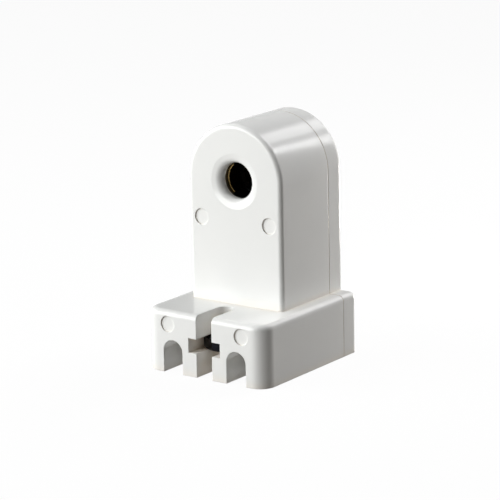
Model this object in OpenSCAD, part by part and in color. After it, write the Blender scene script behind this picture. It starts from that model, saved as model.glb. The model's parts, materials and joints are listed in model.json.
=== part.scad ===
// Pedestal holder for a single-pin fluorescent tube.
// X is the width, the lamp side faces -Y, and Z is up from the mounting face.

/* [Base] */
// Width of the base
base_w = 39; // [36:0.5:46]
// Whole depth, from the front of the base to the back of the cover
base_d = 43; // [41:0.5:50]
// Height of the base
base_h = 17; // [16.5:0.1:20]
// Radius of the base's front corners, seen from above
base_corner_r = 4.2; // [2:0.1:4.8]
// Radius of the base's top edge
base_edge_r = 1.6; // [0.6:0.1:2]

/* [Tower] */
// Width of the tower
tower_w = 30; // [29:0.5:34]
// Height of the centre of the tower's arched top
arch_z = 50.8; // [47:0.1:60]
// Distance from the front of the base to the tower's face
setback = 14.8; // [14.4:0.1:17]
// Radius of the edge round the tower's face
tower_edge_r = 1.2; // [0.4:0.1:2]

/* [Walls] */
// Front wall of the tower
front_wall = 2.8; // [2.2:0.1:3.4]
// Side walls and the roofs over the chambers
side_wall = 2.2; // [1.6:0.1:2.6]
// Floor under the wire chamber
floor_t = 2.4; // [1.8:0.1:2.8]
// Wall between the mounting slot and the wire chamber
chamber_wall = 1.8; // [1.2:0.1:2.4]

/* [Rear cover] */
// Depth of the rear cover
cover_d = 6.4; // [5.5:0.1:8]
// Back wall of the rear cover
cover_back = 2.2; // [1.8:0.1:2.6]
// How far the cover's locating lip reaches into the housing
lip_l = 1.5; // [1:0.1:2.5]
// Thickness of the locating lip
lip_t = 1; // [0.8:0.1:1.4]
// Clearance round the locating lip
lip_gap = 0.12; // [0.05:0.01:0.2]
// Width of the fine groove along the seam
seam_gap = 0.2; // [0.1:0.05:0.4]
// Depth of the groove along the seam
seam_depth = 0.3; // [0.2:0.05:0.5]

/* [Pin hole] */
// Height of the lamp pin's axis
pin_z = 50.4; // [46:0.1:59]
// Radius of the hole for the lamp's pin
pin_hole_r = 4.9; // [4.4:0.1:5.4]
// Radius of the hole's rounded rim
pin_flare_r = 1.75; // [0.8:0.05:1.9]
// Width of the shallow dish round the rim
pin_dish_w = 1.15; // [0.6:0.05:1.6]
// Slope of the dish
pin_dish_angle = 10; // [5:1:15]

/* [Mounting slot] */
// Width of the slot for the mounting screw
slot_w = 5.06; // [4.9:0.02:6]
// Distance from the front to the centre of the slot's round end
slot_l = 9.3; // [8.5:0.1:10.5]
// Width of the channel for the nut
channel_w = 10.35; // [9.8:0.05:11.5]
// Height of the channel's floor
channel_z = 6.5; // [5.5:0.1:7.5]
// Height of the channel
channel_h = 3.95; // [3.5:0.05:4.5]

/* [Captive nut] */
// Width of the hexagonal nut across its flats
nut_w = 9.5; // [8.8:0.1:9.7]
// Thickness of the nut
nut_t = 3.2; // [2.6:0.1:3.3]
// Radius of the nut's threaded hole
nut_hole_r = 2; // [1.8:0.1:2.45]
// Running clearance between the nut and the channel's floor
nut_gap = 0.06; // [0.03:0.01:0.1]
// How far the nut rests in front of the slot's round end
nut_back = 0.3; // [0.2:0.1:1]

/* [Wire grooves] */
// Distance from the middle to each wire groove
groove_x = 10.33; // [9.6:0.01:11]
// Width of each wire groove
groove_w = 6.25; // [5:0.05:7]
// Height of the grooves' arched top
groove_h = 9.06; // [8:0.02:10]
// Depth of the grooves
groove_d = 14.6; // [12:0.1:15]
// Radius of the wire entry at the end of each groove
wire_hole_r = 1.6; // [1.2:0.1:2]

/* [Sunk marks] */
// Radius of the round marks on the front
mark_r = 2.2; // [1.5:0.1:2.3]
// Depth of the marks
mark_depth = 0.35; // [0.2:0.05:0.8]
// Distance from the tower's side to each mark on it
tower_mark_inset = 4; // [3.6:0.1:5]
// Distance from the pin's axis down to the marks on the tower
tower_mark_drop = 10.7; // [10.4:0.1:20]
// Distance from the base's side to each mark on it
base_mark_inset = 7.5; // [7:0.1:8.5]
// Distance from the base's top down to the marks on it
base_mark_drop = 3.7; // [3.5:0.1:4]

/* [Cover screws] */
// Radius of the screws' shanks
screw_r = 1.4; // [1:0.1:1.6]
// Radius of the screws' heads
screw_head_r = 2.5; // [2:0.1:2.6]
// Length of the shanks under the heads
screw_l = 11; // [8:0.5:14]
// Wall of the posts round the screws
post_wall = 1; // [0.8:0.1:1.2]

/* [Contact] */
// Radius of the lamp pin that the jaws grip
lamp_pin_r = 4; // [3.8:0.05:4.1]
// Inner radius of the jaws at their mouth
jaw_r = 4.65; // [4.5:0.05:4.8]
// Thickness of the jaws' strip
jaw_t = 0.5; // [0.4:0.05:0.7]
// Length of the jaws along the pin
jaw_l = 8.4; // [6:0.1:9]
// Angle that each jaw covers
jaw_angle = 104; // [80:1:120]
// Thickness of the strap and the terminal plate
strap_t = 0.8; // [0.6:0.05:1]
// Width of the strap
strap_w = 8; // [6:0.5:9]

/* [Insulator] */
// Width and height of the black insulator
carrier_w = 18; // [16:0.5:19]
// Depth of the insulator
carrier_d = 11.5; // [11:0.1:12]
// Thickness of the insulator's front lip
carrier_lip = 1; // [0.8:0.1:1.5]
// Room round the jaws and their clip inside the insulator
pocket_play = 0.8; // [0.4:0.1:1.2]
// Thickness of the cap that closes the insulator
cap_t = 1.2; // [1:0.1:1.5]

/* [Hidden] */
$fn = 64;

eps = 0.01;               // overshoot of a cut past the surface that it opens
past = 5;                 // overshoot of a cut that leaves the part
fit_gap = 0.1;            // clearance between fixed pieces that slip together

// Planes across the depth
front_y = -base_d / 2;
back_y = base_d / 2;
seam_y = back_y - cover_d;
face_y = front_y + setback;
wall_y = face_y + front_wall;
cover_inner_y = back_y - cover_back;

// Mounting slot and nut
slot_end_y = front_y + slot_l;
nut_corner_r = nut_w / 2 / cos(30);
nut_bevel_in = 0.2;       // reach of the corners' chamfer inside the flats
nut_face_r = nut_w / 2 - nut_bevel_in;
nut_bevel_h = (nut_corner_r - nut_face_r) * tan(30);
nut_mouth = 0.4;          // chamfer at both ends of the thread
nut_y = slot_end_y - nut_back;
channel_d = nut_y - front_y + nut_corner_r + fit_gap;
chamber_y = front_y + max(channel_d, groove_d) + chamber_wall;

// Flare of the pin hole
rim_r = pin_hole_r + pin_flare_r * (1 - sin(pin_dish_angle));
dish_r = rim_r + pin_dish_w;
dish_depth = pin_dish_w * tan(pin_dish_angle);
rim_depth = dish_depth + pin_flare_r * cos(pin_dish_angle);

// Chambers
chamber_w = base_w - 2 * side_wall;
chamber_h = base_h - side_wall;
tower_r = tower_w / 2;
tower_in_r = tower_r - side_wall;
ledge_t = 1;              // front wall's ledge over the base's roof

// Screw posts, in line with the sunk marks
tower_mark_x = tower_r - tower_mark_inset;
tower_mark_z = pin_z - tower_mark_drop;
base_mark_x = base_w / 2 - base_mark_inset;
base_mark_z = base_h - base_mark_drop;
post_r = screw_r + post_wall;
post_root = 1;            // reach of the posts into the front wall
cover_post_wall = 1.5;    // wall of the cover's shorter posts
screw_head_h = 2;
screw_head_edge_r = 0.6;
driver_slot_w = 0.7;
driver_slot_d = 0.8;
head_play = 0.2;          // round the head in its counterbore
head_sink = 0.3;          // head under the cover's back
counterbore_r = screw_head_r + head_play;
counterbore_d = screw_head_h + head_sink;
screw_play = 0.05;        // round the shank in the housing
screw_hole_play = 0.3;    // round the shank in the cover
post_front_y = wall_y - post_root;

// Insulator and jaws
carrier_y = wall_y;
carrier_back_y = carrier_y + carrier_d;
cap_back_y = carrier_back_y + cap_t;
corner_room = 1;          // between the insulator's corners and the tower's inside
carrier_reach = tower_in_r - corner_room;
carrier_min_corner_r = 1;
carrier_corner_r = min(carrier_w / 2 - carrier_min_corner_r / 2,
                       max(carrier_min_corner_r, (carrier_w / sqrt(2) - carrier_reach) / (sqrt(2) - 1)));
lip_bore_r = jaw_r + jaw_t + fit_gap;
seat_wall = 1.3;          // collar that holds the insulator in the housing
seat_l = 4;
jaw_play = 0.2;           // between the insulator's lip and the jaws
jaw_grip = 0.05;          // how much tighter than the lamp's pin the jaws are
jaw_throat_l = 1.2;       // narrowest stretch in the middle of the bowed jaws
jaw_y = carrier_y + carrier_lip + jaw_play;
jaw_mouth_l = 1.2;        // straight stretch at each end of the bowed jaws
tail_w = 5;               // strip that carries each jaw back to the strap
tail_half_angle = asin(tail_w / 2 / jaw_r);
tab_room = 1.5;           // between the cap and the strap, for the jaws' riveted tabs
strap_y = cap_back_y + tab_room;
strap_back_y = strap_y + strap_t;
tab_y = strap_y - jaw_t;
tab_in_x = 0.5;           // gap between the jaws' tabs and the middle
rivet_r = 0.9;
rivet_head_r = 1.7;
rivet_head_h = 0.7;
rivet_play = 0.02;        // round a rivet's shank
jaw_rivet_x = 2.7;
ring_t = 0.4;             // steel clip round the jaws
ring_l = 2;
ring_play = 0.05;         // between the clip and the jaws
ring_gap_angle = 40;
pocket_r = jaw_r + jaw_t + ring_play + ring_t + pocket_play;
hold_gap = 2.2;           // between the strap and the ribs that hold the insulator
hold_t = 1.6;
hold_h = 2;

// Terminals
wire_z = groove_h - groove_w / 2;
wire_r = 0.6;
plate_x = groove_x - wire_r;
plate_rise = 4;           // plate's top over the wires' axis
plate_lift = 0.4;         // plate's flanks over the chamber's floor
plate_gap = 1;            // between the chamber's front wall and the plate
plate_top_z = wire_z + plate_rise;
plate_bottom_z = floor_t + plate_lift;
plate_y = chamber_y + plate_gap;
plate_l = 11;
strap_foot_z = plate_top_z;
strap_foot_inset = 1;
strap_foot_y = plate_y + strap_foot_inset;
strap_bend_r = 1.2;
strap_head_h = 4;         // strap above and below the pin's axis
strap_rivet_pitch = 5;
strap_rivet_inset = 2.4;
strap_rivet_y = strap_foot_y + strap_rivet_inset;
rib_t = 1.3;              // ribs that carry the terminal plate
rib_play = 0.05;
clamp_t = 0.5;
clamp_h = 5.4;
clamp_reach = 7;          // from the fold to the tip, along the wire
clamp_fold_w = 4;
clamp_lean = 0.6;         // offset across the leaf at its fold
clamp_tip_gap = 0.15;     // between the tip and the plate with no wire in
clamp_x = chamber_w / 2 - fit_gap;
clamp_y = chamber_y + fit_gap;
clamp_arm_l = seam_y - lip_l - fit_gap - clamp_y;
clamp_tip_y = clamp_y + clamp_reach;
clamp_fold_x = clamp_x - clamp_fold_w;
clamp_tip_x = plate_x + clamp_tip_gap;
clamp_z = floor_t + fit_gap;

white = [0.93, 0.93, 0.91];
black = [0.04, 0.04, 0.04];
brass = [0.78, 0.6, 0.3];
steel = [0.55, 0.56, 0.58];
dark_steel = [0.25, 0.25, 0.27];

// Sides: the same piece on the left (-1) and on the right (1)
module each_side() {
    for (side = [-1, 1]) scale_x(side) children();
}

module scale_x(side) {
    if (side < 0) mirror([1, 0, 0]) children();
    else children();
}

// Extrudes an outline drawn in X and Z from one depth to another
module along_y(y0, y1) {
    translate([0, y1, 0]) rotate([90, 0, 0]) linear_extrude(y1 - y0) children();
}

// Extrudes an outline drawn in Y and Z from one side to another
module along_x(x0, x1) {
    translate([x0, 0, 0]) rotate([90, 0, 90]) linear_extrude(x1 - x0) children();
}

// A round rod along the depth
module rod_y(x, z, y0, y1, r) {
    translate([x, y1, z]) rotate([90, 0, 0]) cylinder(h = y1 - y0, r = r);
}

// Outline of the base seen from the front, less a margin: rounded top edges
module base_outline(margin = 0) {
    edge_x = base_w / 2 - base_edge_r;
    translate([-base_w / 2 + margin, 0]) square([base_w - 2 * margin, base_h - base_edge_r]);
    translate([-edge_x, 0]) square([2 * edge_x, base_h - margin]);
    for (side = [-1, 1])
        translate([side * edge_x, base_h - base_edge_r]) circle(base_edge_r - margin);
}

// Outline of the tower seen from the front, less a margin
module tower_outline(margin = 0) {
    translate([-tower_r + margin, 0]) square([tower_w - 2 * margin, arch_z]);
    translate([0, arch_z]) circle(tower_r - margin, $fn = 128);
}

// One vertical corner of the base, with the rounded top edge turned round it
module base_corner(r) {
    rotate_extrude() intersection() {
        union() {
            square([r, base_h - base_edge_r]);
            square([r - base_edge_r, base_h]);
            translate([r - base_edge_r, base_h - base_edge_r]) circle(base_edge_r);
        }
        square([r, base_h]);
    }
}

// Front or rear end of the base, r deep, from the middle of its corners outwards
module base_end(r) {
    for (side = [-1, 1]) translate([side * (base_w / 2 - r), r, 0]) base_corner(r);
    along_x(-base_w / 2 + r, base_w / 2 - r) {
        square([r + eps, base_h - base_edge_r]);
        translate([base_edge_r, 0]) square([r + eps - base_edge_r, base_h]);
        translate([base_edge_r, base_h - base_edge_r]) circle(base_edge_r);
    }
}

module base_body() {
    along_y(front_y + base_corner_r, back_y - base_edge_r - eps) base_outline();
    translate([0, front_y, 0]) base_end(base_corner_r);
    translate([0, back_y, 0]) mirror([0, 1, 0]) base_end(base_edge_r + eps);
}

// The tower: straight sides under a disc, with a rounded edge round both ends
module tower_body() {
    r = tower_edge_r;
    depth = back_y - face_y;
    linear_extrude(arch_z) translate([0, face_y]) {
        translate([-tower_r, r]) square([tower_w, depth - 2 * r]);
        translate([-tower_r + r, 0]) square([tower_w - 2 * r, depth]);
        for (x = [-tower_r + r, tower_r - r], y = [r, depth - r]) translate([x, y]) circle(r);
    }
    translate([0, face_y, arch_z]) rotate([-90, 0, 0]) rotate_extrude($fn = 128) {
        translate([0, r]) square([tower_r, depth - 2 * r]);
        square([tower_r - r, depth]);
        for (y = [r, depth - r]) translate([tower_r - r, y]) circle(r);
    }
}

module body_shape() {
    base_body();
    tower_body();
}

// Inside outline of both mouldings, less a margin all round
module chamber_outline(margin = 0) {
    translate([-chamber_w / 2 + margin, floor_t + margin])
        square([chamber_w - 2 * margin, chamber_h - floor_t - 2 * margin]);
    translate([-tower_in_r + margin, floor_t + margin])
        square([2 * (tower_in_r - margin), arch_z - floor_t - margin]);
    translate([0, arch_z]) circle(tower_in_r - margin, $fn = 128);
}

// Hollow of the housing: the wire chamber in the base and the contact chamber in the tower
module housing_hollow() {
    along_y(chamber_y, seam_y + eps) intersection() {
        chamber_outline();
        translate([-base_w, 0]) square([2 * base_w, base_h]);
    }
    along_y(max(wall_y, chamber_y), seam_y + eps) chamber_outline();
    along_y(wall_y, seam_y + eps) intersection() {
        chamber_outline();
        translate([-base_w, base_h + ledge_t]) square([2 * base_w, arch_z + base_w]);
    }
}

// Flared hole for the lamp's pin: a shallow dish that rolls over into the hole
module pin_hole() {
    roll_x = pin_hole_r + pin_flare_r;
    rod_y(0, pin_z, face_y - past, wall_y + eps, pin_hole_r);
    translate([0, face_y, pin_z]) rotate([-90, 0, 0]) rotate_extrude($fn = 128) difference() {
        polygon([[pin_hole_r - eps, -eps], [dish_r, -eps], [dish_r, 0], [rim_r, dish_depth],
                 [roll_x, rim_depth], [pin_hole_r - eps, rim_depth]]);
        translate([roll_x, rim_depth]) circle(pin_flare_r);
    }
}

// T-slot: a slot for the screw and a wider channel across it for the nut
module mounting_slot() {
    translate([-slot_w / 2, front_y - past, -past]) cube([slot_w, slot_l + past, base_h + 2 * past]);
    translate([0, slot_end_y, -past]) cylinder(h = base_h + 2 * past, d = slot_w);
    translate([-channel_w / 2, front_y - past, channel_z]) cube([channel_w, channel_d + past, channel_h]);
}

// Arched groove for a wire, open below and in front, with the wire's entry at its end
module wire_groove() {
    along_y(front_y - past, front_y + groove_d) {
        translate([groove_x - groove_w / 2, -past]) square([groove_w, wire_z + past]);
        translate([groove_x, wire_z]) circle(d = groove_w);
    }
    rod_y(groove_x, wire_z, front_y, chamber_y + eps, wire_hole_r);
}

module sunk_marks() {
    each_side() {
        rod_y(tower_mark_x, tower_mark_z, face_y - past, face_y + mark_depth, mark_r);
        rod_y(base_mark_x, base_mark_z, front_y - past, front_y + mark_depth, mark_r);
    }
}

// Posts for the cover screws
module posts(y0, y1, r) {
    each_side() {
        rod_y(tower_mark_x, tower_mark_z, y0, y1, r);
        rod_y(base_mark_x, base_mark_z, y0, y1, r);
    }
}

// Collar in the housing that the insulator slips into
module carrier_seat() {
    along_y(wall_y - eps, wall_y + seat_l) translate([0, pin_z]) difference() {
        rounded_square(carrier_w + 2 * (seat_wall + fit_gap), carrier_corner_r + seat_wall);
        rounded_square(carrier_w + 2 * fit_gap, carrier_corner_r);
    }
}

// Ribs on the chamber's floor that stand inside the terminal plate's flanks
module plate_ribs() {
    each_side()
        translate([plate_x - strap_t - rib_play - rib_t, chamber_y - eps, floor_t - eps])
            cube([rib_t, plate_l, plate_top_z - strap_t - rib_play - floor_t]);
}

module housing() {
    color(white) difference() {
        intersection() {
            union() {
                difference() {
                    body_shape();
                    housing_hollow();
                }
                intersection() {
                    union() {
                        posts(post_front_y, seam_y, post_r);
                        plate_ribs();
                        carrier_seat();
                    }
                    body_shape();
                }
            }
            translate([-base_w, front_y - past, -past])
                cube([2 * base_w, seam_y - front_y + past, 2 * arch_z]);
        }
        pin_hole();
        mounting_slot();
        each_side() wire_groove();
        sunk_marks();
        posts(seam_y - screw_l, seam_y + eps, screw_r + screw_play);
    }
}

// Locating lip round the cover's inside, cut away round the housing's posts
module cover_lip() {
    difference() {
        along_y(seam_y - lip_l, seam_y + eps) difference() {
            chamber_outline(lip_gap);
            chamber_outline(lip_gap + lip_t);
        }
        posts(seam_y - lip_l - eps, seam_y, post_r + lip_gap);
    }
}

// Fine groove round the cover's front edge, which shows as the seam
module seam_groove() {
    along_y(seam_y - eps, seam_y + seam_gap) difference() {
        translate([-base_w, 0]) square([2 * base_w, 2 * arch_z]);
        base_outline(seam_depth);
        tower_outline(seam_depth);
    }
}

// Ribs that reach forward to hold the insulator in its seat, clear of the strap
module hold_down_ribs() {
    each_side()
        translate([strap_w / 2 + hold_gap, cap_back_y + fit_gap, pin_z - hold_h / 2])
            cube([hold_t, cover_inner_y - cap_back_y, hold_h]);
}

module rear_cover() {
    color(white) difference() {
        union() {
            difference() {
                intersection() {
                    body_shape();
                    translate([-base_w, seam_y, -past]) cube([2 * base_w, base_d, 2 * arch_z]);
                }
                along_y(seam_y - eps, cover_inner_y) chamber_outline();
            }
            intersection() {
                posts(seam_y, cover_inner_y + eps, screw_r + cover_post_wall);
                body_shape();
            }
            cover_lip();
            hold_down_ribs();
        }
        posts(seam_y - eps, back_y + past, screw_r + screw_hole_play);
        posts(back_y - counterbore_d, back_y + past, counterbore_r);
        seam_groove();
    }
}

module rounded_square(w, r) {
    square([w, w - 2 * r], center = true);
    square([w - 2 * r, w], center = true);
    for (x = [-1, 1], y = [-1, 1]) translate([x, y] * (w / 2 - r)) circle(r);
}

module contact_carrier() {
    color(black) difference() {
        along_y(carrier_y, carrier_back_y) translate([0, pin_z]) rounded_square(carrier_w, carrier_corner_r);
        rod_y(0, pin_z, carrier_y - eps, carrier_back_y, lip_bore_r);
        rod_y(0, pin_z, carrier_y + carrier_lip, carrier_back_y + eps, pocket_r);
    }
}

// Cap behind the insulator, with a slot for each jaw's tail
module carrier_cap() {
    color(black) difference() {
        along_y(carrier_back_y, cap_back_y) translate([0, pin_z]) rounded_square(carrier_w, carrier_corner_r);
        each_side() translate([jaw_r * cos(tail_half_angle) - 2 * fit_gap, carrier_back_y - eps, pin_z])
            translate([0, 0, -tail_w / 2 - fit_gap])
                cube([jaw_t + jaw_r * (1 - cos(tail_half_angle)) + 4 * fit_gap, cap_t + 2 * eps,
                      tail_w + 2 * fit_gap]);
    }
}

// Section of a jaw in radius and depth: a strip that bows in to grip the pin
module jaw_section() {
    grip_r = lamp_pin_r - jaw_grip;
    grip_start = (jaw_l - jaw_throat_l) / 2;
    inner = [[jaw_r, 0], [jaw_r, jaw_mouth_l], [grip_r, grip_start],
             [grip_r, grip_start + jaw_throat_l], [jaw_r, jaw_l - jaw_mouth_l], [jaw_r, jaw_l]];
    outer = [for (i = [len(inner) - 1 : -1 : 0]) inner[i] + [jaw_t, 0]];
    polygon(concat(inner, outer));
}

module jaw(side) {
    color(brass) scale_x(side) {
        // gripping sleeve
        translate([0, jaw_y, pin_z]) rotate([-90, 0, 0])
            rotate([0, 0, -jaw_angle / 2]) rotate_extrude(angle = jaw_angle, $fn = 96) jaw_section();
        // tail back to the strap
        along_y(jaw_y + jaw_l - jaw_mouth_l / 2, strap_y) translate([0, pin_z]) jaw_tail_outline();
        // tab riveted to the strap
        difference() {
            translate([tab_in_x, tab_y, pin_z - tail_w / 2]) cube([jaw_r - tab_in_x + eps, jaw_t, tail_w]);
            rod_y(jaw_rivet_x, pin_z, tab_y - eps, strap_y + eps, rivet_r);
        }
    }
}

// Outline of the tail: a short arc of the sleeve
module jaw_tail_outline() {
    intersection() {
        difference() {
            circle(jaw_r + jaw_t, $fn = 96);
            circle(jaw_r, $fn = 96);
        }
        translate([0, -tail_w / 2]) square([2 * jaw_r, tail_w]);
    }
}

// Steel clip that presses the jaws together, open below
module jaw_spring() {
    inner_r = jaw_r + jaw_t + ring_play;
    turn = 360 - ring_gap_angle;
    color(steel)
        translate([0, jaw_y + jaw_l - ring_l, pin_z]) rotate([-90, 0, 0])
            rotate([0, 0, 90 + ring_gap_angle / 2]) rotate_extrude(angle = turn, $fn = 96)
                translate([inner_r, 0]) square([ring_t, ring_l]);
}

// A rivet along the depth: a shank between two heads
module rivet_y(x, z, y0, y1) {
    rod_y(x, z, y0 - rivet_head_h, y0, rivet_head_r);
    rod_y(x, z, y0 - eps, y1 + eps, rivet_r - rivet_play);
    rod_y(x, z, y1, y1 + rivet_head_h, rivet_head_r);
}

module jaw_rivet(side) {
    color(brass) rivet_y(side * jaw_rivet_x, pin_z, tab_y, strap_back_y);
}

// Outline of the strap in Y and Z: down behind the jaws, then forward over the terminal plate
module strap_outline() {
    bend_y = strap_y - strap_bend_r;
    bend_z = strap_foot_z + strap_t + strap_bend_r;
    translate([strap_y, bend_z]) square([strap_t, pin_z + strap_head_h - bend_z]);
    translate([strap_foot_y, strap_foot_z]) square([bend_y - strap_foot_y, strap_t]);
    translate([bend_y, bend_z]) intersection() {
        difference() {
            circle(strap_bend_r + strap_t);
            circle(strap_bend_r);
        }
        translate([0, -2 * strap_bend_r]) square(2 * strap_bend_r);
    }
}

module contact_strap() {
    color(brass) difference() {
        along_x(-strap_w / 2, strap_w / 2) strap_outline();
        for (x = [-jaw_rivet_x, jaw_rivet_x]) rod_y(x, pin_z, strap_y - eps, strap_back_y + eps, rivet_r);
        for (i = [0, 1]) translate([0, strap_rivet_y + i * strap_rivet_pitch, strap_foot_z - eps])
            cylinder(h = strap_t + 2 * eps, r = rivet_r);
    }
}

// Plate over the ribs, with a flank behind each wire
module terminal_plate() {
    color(brass) difference() {
        along_y(plate_y, plate_y + plate_l) difference() {
            translate([-plate_x, plate_bottom_z]) square([2 * plate_x, plate_top_z - plate_bottom_z]);
            translate([-plate_x + strap_t, plate_bottom_z - eps])
                square([2 * (plate_x - strap_t), plate_top_z - strap_t - plate_bottom_z + eps]);
        }
        for (i = [0, 1])
            translate([0, strap_rivet_y + i * strap_rivet_pitch, plate_top_z - strap_t - eps])
                cylinder(h = strap_t + 2 * eps, r = rivet_r);
    }
}

module strap_rivet(i) {
    color(brass) translate([0, strap_rivet_y + i * strap_rivet_pitch, plate_top_z - strap_t]) {
        translate([0, 0, -rivet_head_h]) cylinder(h = rivet_head_h, r = rivet_head_r);
        translate([0, 0, -eps]) cylinder(h = 2 * strap_t + 2 * eps, r = rivet_r - rivet_play);
        translate([0, 0, 2 * strap_t]) cylinder(h = rivet_head_h, r = rivet_head_r);
    }
}

// Spring leaf: an arm along the side wall, folded in to press the wire on the plate's flank
module wire_clamp(side) {
    color(steel) scale_x(side) translate([0, 0, clamp_z]) linear_extrude(clamp_h) {
        translate([clamp_x - clamp_t, clamp_y]) square([clamp_t, clamp_arm_l]);
        translate([clamp_fold_x, clamp_y]) square([clamp_x - clamp_fold_x, clamp_t]);
        polygon([[clamp_fold_x, clamp_y], [clamp_fold_x + clamp_lean, clamp_y + clamp_t],
                 [clamp_tip_x + clamp_t, clamp_tip_y], [clamp_tip_x, clamp_tip_y]]);
    }
}

// Chamfer at one end of the nut's thread
module nut_thread_mouth() {
    mouth_r = nut_hole_r + nut_mouth;
    rotate_extrude() polygon([[0, -eps], [mouth_r, -eps], [0, mouth_r]]);
}

// Hexagonal nut, one corner to the front, with chamfered corners and thread mouths
module captive_nut() {
    color(dark_steel) translate([0, nut_y, channel_z + nut_gap]) difference() {
        intersection() {
            translate([0, 0, -eps]) rotate([0, 0, 30])
                cylinder(h = nut_t + 2 * eps, r = nut_corner_r, $fn = 6);
            rotate_extrude() polygon([[0, 0], [nut_face_r, 0], [nut_corner_r + eps, nut_bevel_h],
                                      [nut_corner_r + eps, nut_t - nut_bevel_h], [nut_face_r, nut_t],
                                      [0, nut_t]]);
        }
        translate([0, 0, -eps]) cylinder(h = nut_t + 2 * eps, r = nut_hole_r);
        nut_thread_mouth();
        translate([0, 0, nut_t]) mirror([0, 0, 1]) nut_thread_mouth();
    }
}

// Pan head with a rounded edge and a driver slot across it
module screw_head() {
    e = screw_head_edge_r;
    difference() {
        rotate_extrude() {
            square([screw_head_r, screw_head_h - e]);
            square([screw_head_r - e, screw_head_h]);
            translate([screw_head_r - e, screw_head_h - e]) circle(e);
        }
        translate([-screw_head_r - eps, -driver_slot_w / 2, screw_head_h - driver_slot_d])
            cube([2 * (screw_head_r + eps), driver_slot_w, driver_slot_d + eps]);
    }
}

// Screw that enters from the back of the cover
module cover_screw(side, x, z) {
    head_y = back_y - counterbore_d;
    color(steel) scale_x(side) {
        translate([x, head_y, z]) rotate([-90, 0, 0]) screw_head();
        rod_y(x, z, head_y - screw_l, head_y + eps, screw_r);
    }
}

housing();
rear_cover();
contact_carrier();
carrier_cap();
jaw(-1);  // left_jaw
jaw(1);  // right_jaw
jaw_spring();
jaw_rivet(-1);  // left_jaw_rivet
jaw_rivet(1);  // right_jaw_rivet
contact_strap();
terminal_plate();
strap_rivet(0);  // front_strap_rivet
strap_rivet(1);  // rear_strap_rivet
wire_clamp(-1);  // left_wire_clamp
wire_clamp(1);  // right_wire_clamp
captive_nut();
cover_screw(-1, tower_mark_x, tower_mark_z);  // upper_left_screw
cover_screw(1, tower_mark_x, tower_mark_z);  // upper_right_screw
cover_screw(-1, base_mark_x, base_mark_z);  // lower_left_screw
cover_screw(1, base_mark_x, base_mark_z);  // lower_right_screw
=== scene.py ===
"""The pedestal tube holder: its finishes, the floor, the studio lights and the camera."""
import json
import math

import bpy
from mathutils import Matrix, Vector


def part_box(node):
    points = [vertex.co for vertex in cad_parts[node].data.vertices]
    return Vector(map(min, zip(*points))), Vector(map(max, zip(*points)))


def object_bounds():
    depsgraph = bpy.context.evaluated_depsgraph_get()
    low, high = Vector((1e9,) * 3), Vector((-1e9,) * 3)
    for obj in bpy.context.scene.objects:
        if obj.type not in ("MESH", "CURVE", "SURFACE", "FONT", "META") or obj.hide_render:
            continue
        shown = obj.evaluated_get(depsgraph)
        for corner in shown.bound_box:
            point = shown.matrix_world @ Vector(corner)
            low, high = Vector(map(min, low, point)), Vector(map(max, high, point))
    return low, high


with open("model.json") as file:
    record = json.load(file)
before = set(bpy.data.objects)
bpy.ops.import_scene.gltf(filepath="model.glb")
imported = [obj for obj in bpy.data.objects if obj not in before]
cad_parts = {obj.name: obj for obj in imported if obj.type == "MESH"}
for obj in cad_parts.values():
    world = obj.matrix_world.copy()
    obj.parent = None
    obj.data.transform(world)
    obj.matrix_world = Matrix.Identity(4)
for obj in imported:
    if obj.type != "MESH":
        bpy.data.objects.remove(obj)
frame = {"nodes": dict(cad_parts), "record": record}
cad_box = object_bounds()

MM = 0.001

# Camera: where it stands, seen from the middle of the base's front edge, and how it is framed
FRAME_PX = 500
SENSOR_MM = 36
FOCAL_PX = 2490.98                  # focal length in pixels of a 500-pixel frame
TARGET_PX = (204.795, 379.319)      # pixel where the middle of the base's front edge lies
CAMERA_AZIMUTH = 36.217             # degrees from straight in front, towards the right side
CAMERA_ELEVATION = 14.123
CAMERA_ROLL = -1.15
CAMERA_DISTANCE = 655.73 * MM
CAMERA_NEAR = 10 * MM               # nothing closer than this is seen

# Floor and room: both look nearly white to the camera, and light the object less than that
WHITE = (1.0, 1.0, 1.0, 1.0)
FLOOR_HALF_SIZE = 3.0               # metres
FLOOR_DROP = 0.02 * MM              # from the mounting face down to the floor
FLOOR_GREY = (0.205, 0.19, 0.172, 1)    # what the floor gives back to the object
FLOOR_GLOW = 0.95                   # share of the floor's white that no shadow darkens
ROOM_LIGHT = 0.05                   # what the room round the lamps gives
ROOM_MIRRORED = 0.50                # how bright the room's backdrop looks in a shine

# Height over the mounting face that the lamps are turned to, in metres
MIDDLE_AIM = 0.03
BASE_AIM = 0.012

# Shading that all finishes share
BEVEL_SAMPLES = 6
SKY_SAMPLES = 8

# White moulding; each noise here and below is its patches to a metre, roughly, and its detail
PLASTIC_IOR = 1.46
PLASTIC_DARK = (0.845, 0.849, 0.840, 1)
PLASTIC_PALE = (0.905, 0.904, 0.886, 1)
# Painted shade: a warm, darker colour laid on the moulding in recesses and corners, where
# shade falls
PLASTIC_PAINTED_SHADE = (0.92, 0.80, 0.66, 1)
PLASTIC_ROUGHNESS = (0.10, 0.18)
PLASTIC_EDGE = 0.30 * MM
PAINTED_SHADE_REACH = 6 * MM            # walls nearer than this close a spot in and give it painted shade
UNSHADED_OPENNESS = 0.72                   # a spot at least this open keeps the plain white, without painted shade
CLOUDS = (60.0, 3.0)
SMEARS = (140.0, 4.0)
PEEL = (420.0, 2.0)
PEEL_HEIGHT = 0.012 * MM

# Black insulator
INSULATOR_DARK = (0.006, 0.006, 0.007, 1)
INSULATOR_PALE = (0.018, 0.017, 0.016, 1)
INSULATOR_ROUGHNESS = (0.35, 0.55)
INSULATOR_EDGE = 0.12 * MM
GRAIN = (900.0, 4.0)
GRAIN_HEIGHT = 0.01 * MM

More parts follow.
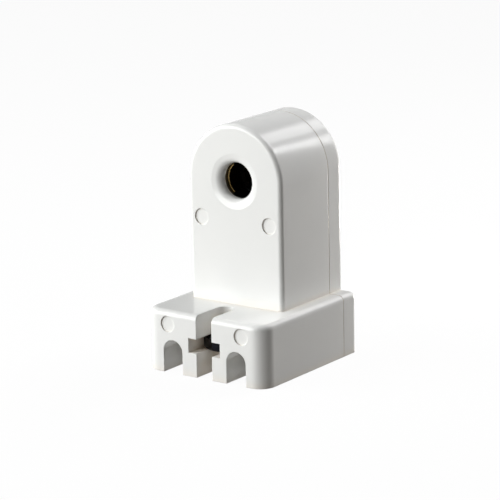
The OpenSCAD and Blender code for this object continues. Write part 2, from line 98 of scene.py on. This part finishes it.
# Metals
STREAK_SCALE = 2600.0
STREAK_STRETCH = (1.0, 0.08, 1.0)   # the streaks are long from front to back
STREAK_HEIGHT = 0.006 * MM
SPOTS = (300.0, 5.0)
METALS = {  # slot: material, its two colours, range of roughness, rounding of the edges
    "brass": ("rolled_brass", (0.62, 0.40, 0.13, 1), (0.83, 0.58, 0.24, 1),
              (0.22, 0.42), 0.06 * MM),
    "spring_steel": ("spring_steel", (0.30, 0.31, 0.33, 1), (0.46, 0.47, 0.48, 1),
                     (0.25, 0.40), 0.05 * MM),
    "nut_steel": ("blackened_nut", (0.006, 0.006, 0.008, 1), (0.022, 0.022, 0.026, 1),
                  (0.18, 0.30), 0.18 * MM),
    "screw_steel": ("plated_screw", (0.42, 0.43, 0.44, 1), (0.62, 0.62, 0.61, 1),
                    (0.25, 0.45), 0.12 * MM),
}
JAWS = ("left_jaw", "right_jaw")
JAW_METAL = ("jaw_brass_painted_shade", (0.66, 0.44, 0.15, 1), (0.86, 0.62, 0.27, 1),
             (0.20, 0.34), 0.18 * MM)
# Painted shade on the jaws: a dark colour laid on them deeper in the hole, where shade falls
JAW_PAINTED_SHADE = (0.035, 0.024, 0.012, 1)
JAW_SHADE_START = 0.10 * MM           # from the jaws' mouth to where the plain brass ends and the painted shade starts
JAW_SHADE_FULL = 0.60 * MM            # from the jaws' mouth to where the painted shade is full and all is dark


def direction(azimuth, elevation):
    """Unit vector out of the object: azimuth 0 is the lamp side, 90 is the right side."""
    az = math.radians(azimuth)
    el = math.radians(elevation)
    return Vector((math.sin(az) * math.cos(el), -math.cos(az) * math.cos(el), math.sin(el)))


def add_object(name, data):
    """Puts a new object into the scene."""
    thing = bpy.data.objects.new(name, data)
    bpy.context.scene.collection.objects.link(thing)
    return thing


def front_edge():
    """The middle of the base's front edge, on the floor."""
    low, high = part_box("housing")
    return Vector(((low.x + high.x) / 2, low.y, low.z))


def make_camera():
    back = direction(CAMERA_AZIMUTH, CAMERA_ELEVATION)
    azimuth = math.radians(CAMERA_AZIMUTH)
    level_right = Vector((math.cos(azimuth), math.sin(azimuth), 0))
    level_up = back.cross(level_right)
    roll = math.radians(CAMERA_ROLL)
    right = math.cos(roll) * level_right + math.sin(roll) * level_up
    up = -math.sin(roll) * level_right + math.cos(roll) * level_up
    metres_per_px = CAMERA_DISTANCE / FOCAL_PX
    middle = FRAME_PX / 2
    place = (front_edge() + back * CAMERA_DISTANCE
             - right * (TARGET_PX[0] - middle) * metres_per_px
             + up * (TARGET_PX[1] - middle) * metres_per_px)
    data = bpy.data.cameras.new("camera")
    data.sensor_width = SENSOR_MM
    data.lens = FOCAL_PX * SENSOR_MM / FRAME_PX
    data.clip_start = CAMERA_NEAR
    camera = add_object("camera", data)
    turn = Matrix((right, up, back)).transposed().to_4x4()
    turn.translation = place
    camera.matrix_world = turn
    bpy.context.scene.camera = camera


def area_light(name, azimuth, elevation, distance, size, radiance,
               colour=(1, 1, 1), aim_z=MIDDLE_AIM):
    """A softbox that faces the object. Angles are in degrees and lengths in metres."""
    data = bpy.data.lights.new(name, "AREA")
    data.shape = "RECTANGLE"
    data.size, data.size_y = size
    data.energy = radiance * math.pi * size[0] * size[1]
    data.color = colour
    light = add_object(name, data)
    away = direction(azimuth, elevation)
    light.location = Vector((0, 0, aim_z)) + away * distance
    light.rotation_euler = away.to_track_quat("Z", "Y").to_euler()
    light.visible_camera = False


def make_lights():
    area_light("key", azimuth=-45, elevation=11, distance=0.60, size=(0.74, 0.60),
               radiance=5.5, colour=(0.988, 1, 0.995))
    area_light("rim", azimuth=152.4, elevation=25.2, distance=0.30, size=(0.028, 0.34),
               radiance=5.8)
    area_light("rear_strip", azimuth=173, elevation=35, distance=0.40, size=(0.10, 0.30),
               radiance=2.4)
    area_light("rear_card", azimuth=166, elevation=22, distance=0.45, size=(0.28, 0.45),
               radiance=0.95)
    area_light("high_side", azimuth=148, elevation=56, distance=0.40, size=(0.16, 0.16),
               radiance=4.6)
    area_light("overhead", azimuth=60, elevation=78, distance=0.60, size=(0.30, 0.30),
               radiance=1.3)
    area_light("rear_low", azimuth=159, elevation=1, distance=0.15, size=(0.03, 0.04),
               radiance=21.0, colour=(1, 0.97, 0.93), aim_z=BASE_AIM)


def larger(nodes, links, first, second):
    """The larger of two values."""
    pick = nodes.new("ShaderNodeMath")
    pick.operation = "MAXIMUM"
    links.new(first, pick.inputs[0])
    links.new(second, pick.inputs[1])
    return pick.outputs[0]


def make_room():
    """White where the camera sees it, dimmer in a shine, and faint as a source of light."""
    world = bpy.data.worlds.new("studio")
    world.use_nodes = True
    nodes = world.node_tree.nodes
    links = world.node_tree.links
    background = nodes["Background"]
    path = nodes.new("ShaderNodeLightPath")
    mirrored = larger(nodes, links, path.outputs["Is Glossy Ray"],
                      path.outputs["Is Transmission Ray"])
    dim = nodes.new("ShaderNodeMix")
    dim.inputs["A"].default_value = ROOM_LIGHT
    dim.inputs["B"].default_value = ROOM_MIRRORED
    links.new(mirrored, dim.inputs["Factor"])
    seen = larger(nodes, links, dim.outputs["Result"], path.outputs["Is Camera Ray"])
    background.inputs["Color"].default_value = WHITE
    links.new(seen, background.inputs["Strength"])
    bpy.context.scene.world = world


def plain_shader(nodes, kind, colour):
    """A shader of one colour."""
    shader = nodes.new(kind)
    shader.inputs["Color"].default_value = colour
    return shader.outputs[0]


def make_floor():
    """Nearly white to the camera and in a shine, and grey for the light that it gives back."""
    mesh = bpy.data.meshes.new("floor")
    half = FLOOR_HALF_SIZE
    mesh.from_pydata([(-half, -half, 0), (half, -half, 0), (half, half, 0), (-half, half, 0)],
                     [], [(0, 1, 2, 3)])
    floor = add_object("floor", mesh)
    floor.location.z = cad_box[0][2] - FLOOR_DROP
    material = bpy.data.materials.new("pale_floor")
    material.use_nodes = True
    nodes = material.node_tree.nodes
    links = material.node_tree.links
    nodes.clear()
    output = nodes.new("ShaderNodeOutputMaterial")
    grey = plain_shader(nodes, "ShaderNodeBsdfDiffuse", FLOOR_GREY)
    pale = plain_shader(nodes, "ShaderNodeBsdfDiffuse", WHITE)
    glow = plain_shader(nodes, "ShaderNodeEmission", WHITE)
    seen = nodes.new("ShaderNodeMixShader")
    seen.inputs["Fac"].default_value = FLOOR_GLOW
    links.new(pale, seen.inputs[1])
    links.new(glow, seen.inputs[2])
    path = nodes.new("ShaderNodeLightPath")
    in_sight = larger(nodes, links, path.outputs["Is Camera Ray"],
                      path.outputs["Is Glossy Ray"])
    any_view = larger(nodes, links, in_sight, path.outputs["Is Transmission Ray"])
    mix = nodes.new("ShaderNodeMixShader")
    links.new(any_view, mix.inputs["Fac"])
    links.new(grey, mix.inputs[1])
    links.new(seen.outputs[0], mix.inputs[2])
    links.new(mix.outputs[0], output.inputs["Surface"])
    mesh.materials.append(material)


def new_material(name):
    material = bpy.data.materials.new(name)
    material.use_nodes = True
    nodes = material.node_tree.nodes
    return material, nodes, material.node_tree.links, nodes["Principled BSDF"]


def object_noise(nodes, links, scale, detail):
    """Noise in the object's own coordinates, so that it stays on the piece as it moves."""
    place = nodes.new("ShaderNodeTexCoord")
    noise = nodes.new("ShaderNodeTexNoise")
    noise.inputs["Scale"].default_value = scale
    noise.inputs["Detail"].default_value = detail
    links.new(place.outputs["Object"], noise.inputs["Vector"])
    return noise.outputs["Fac"]


def blend(nodes, links, factor, first, second):
    """From first to second as factor goes from 0 to 1; each is a colour or an output."""
    mix = nodes.new("ShaderNodeMix")
    mix.data_type = "RGBA"
    links.new(factor, mix.inputs["Factor"])
    for name, colour in (("A", first), ("B", second)):
        if isinstance(colour, bpy.types.NodeSocket):
            links.new(colour, mix.inputs[name])
        else:
            mix.inputs[name].default_value = colour
    return mix.outputs["Result"]


def remap(nodes, links, source, start=(0, 1), onto=(0, 1)):
    """Maps one range of values onto another, and holds its ends beyond it."""
    change = nodes.new("ShaderNodeMapRange")
    change.inputs["From Min"].default_value, change.inputs["From Max"].default_value = start
    change.inputs["To Min"].default_value, change.inputs["To Max"].default_value = onto
    links.new(source, change.inputs["Value"])
    return change.outputs["Result"]


def soft_edges(nodes, links, shader, radius, bump_source, bump_height):
    """Rounds the sharp edges in the shading and adds a fine surface bump."""
    bevel = nodes.new("ShaderNodeBevel")
    bevel.samples = BEVEL_SAMPLES
    bevel.inputs["Radius"].default_value = radius
    bump = nodes.new("ShaderNodeBump")
    bump.inputs["Distance"].default_value = bump_height
    links.new(bump_source, bump.inputs["Height"])
    links.new(bevel.outputs["Normal"], bump.inputs["Normal"])
    links.new(bump.outputs["Normal"], shader.inputs["Normal"])


def white_plastic():
    """Glossy off-white moulding, a little uneven, with painted warm shade where walls close it
    in.
    """
    material, nodes, links, shader = new_material("white_moulding")
    shader.inputs["IOR"].default_value = PLASTIC_IOR
    clouds = object_noise(nodes, links, *CLOUDS)
    tint = blend(nodes, links, clouds, PLASTIC_DARK, PLASTIC_PALE)
    # Painted shade: the occlusion mask blends the colour towards the painted shade in recesses
    sky = nodes.new("ShaderNodeAmbientOcclusion")
    sky.samples = SKY_SAMPLES
    sky.inputs["Distance"].default_value = PAINTED_SHADE_REACH
    openness = remap(nodes, links, sky.outputs["AO"], start=(0, UNSHADED_OPENNESS))
    painted_shade_colour = blend(nodes, links, openness, PLASTIC_PAINTED_SHADE, tint)
    links.new(painted_shade_colour, shader.inputs["Base Color"])
    smears = object_noise(nodes, links, *SMEARS)
    links.new(remap(nodes, links, smears, onto=PLASTIC_ROUGHNESS), shader.inputs["Roughness"])
    peel = object_noise(nodes, links, *PEEL)
    soft_edges(nodes, links, shader, PLASTIC_EDGE, peel, PEEL_HEIGHT)
    return material


def black_phenolic():
    """Satin black moulding with a faint grain."""
    material, nodes, links, shader = new_material("black_insulator")
    grain = object_noise(nodes, links, *GRAIN)
    links.new(blend(nodes, links, grain, INSULATOR_DARK, INSULATOR_PALE),
              shader.inputs["Base Color"])
    links.new(remap(nodes, links, grain, onto=INSULATOR_ROUGHNESS), shader.inputs["Roughness"])
    soft_edges(nodes, links, shader, INSULATOR_EDGE, grain, GRAIN_HEIGHT)
    return material


def rolled_metal(name, dark, pale, roughness, edge):
    """Rolled or plated metal: streaks from front to back, dull spots and soft edges."""
    material, nodes, links, shader = new_material(name)
    shader.inputs["Metallic"].default_value = 1.0
    place = nodes.new("ShaderNodeTexCoord")
    stretch = nodes.new("ShaderNodeMapping")
    stretch.inputs["Scale"].default_value = STREAK_STRETCH
    links.new(place.outputs["Object"], stretch.inputs["Vector"])
    streaks = nodes.new("ShaderNodeTexNoise")
    streaks.inputs["Scale"].default_value = STREAK_SCALE
    links.new(stretch.outputs["Vector"], streaks.inputs["Vector"])
    spots = object_noise(nodes, links, *SPOTS)
    links.new(blend(nodes, links, spots, dark, pale), shader.inputs["Base Color"])
    links.new(remap(nodes, links, spots, onto=roughness), shader.inputs["Roughness"])
    soft_edges(nodes, links, shader, edge, streaks.outputs["Fac"], STREAK_HEIGHT)
    return material


def jaw_brass_painted_shade():
    """Brass in its plain colour at the jaws' mouth, darkened with painted shade behind it."""
    material = rolled_metal(*JAW_METAL)
    nodes = material.node_tree.nodes
    links = material.node_tree.links
    base_colour = nodes["Principled BSDF"].inputs["Base Color"]
    plain_brass = base_colour.links[0].from_socket
    place = nodes.new("ShaderNodeTexCoord")
    along = nodes.new("ShaderNodeSeparateXYZ")
    links.new(place.outputs["Object"], along.inputs[0])
    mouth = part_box("left_jaw")[0].y
    # Painted shade: the brass colour darkens with depth behind the jaws' mouth
    depth = remap(nodes, links, along.outputs["Y"],
                  start=(mouth + JAW_SHADE_START, mouth + JAW_SHADE_FULL))
    links.new(blend(nodes, links, depth, plain_brass, JAW_PAINTED_SHADE), base_colour)
    return material


def dress_nodes():
    """Gives every CAD node the finish that its record slot names, and the jaws their brass
    with painted shade.
    """
    finishes = {"white_plastic": white_plastic(), "black_phenolic": black_phenolic()}
    for slot, metal in METALS.items():
        finishes[slot] = rolled_metal(*metal)
    shaded_jaw_finish = jaw_brass_painted_shade()
    for part in frame["record"]["subparts"]:
        for slot in frame["nodes"][part["node"]].material_slots:
            slot.material = shaded_jaw_finish if part["node"] in JAWS else finishes[part["material_slot"]]


make_camera()
make_floor()
make_lights()
make_room()
dress_nodes()

bpy.context.scene.view_settings.view_transform = "Standard"
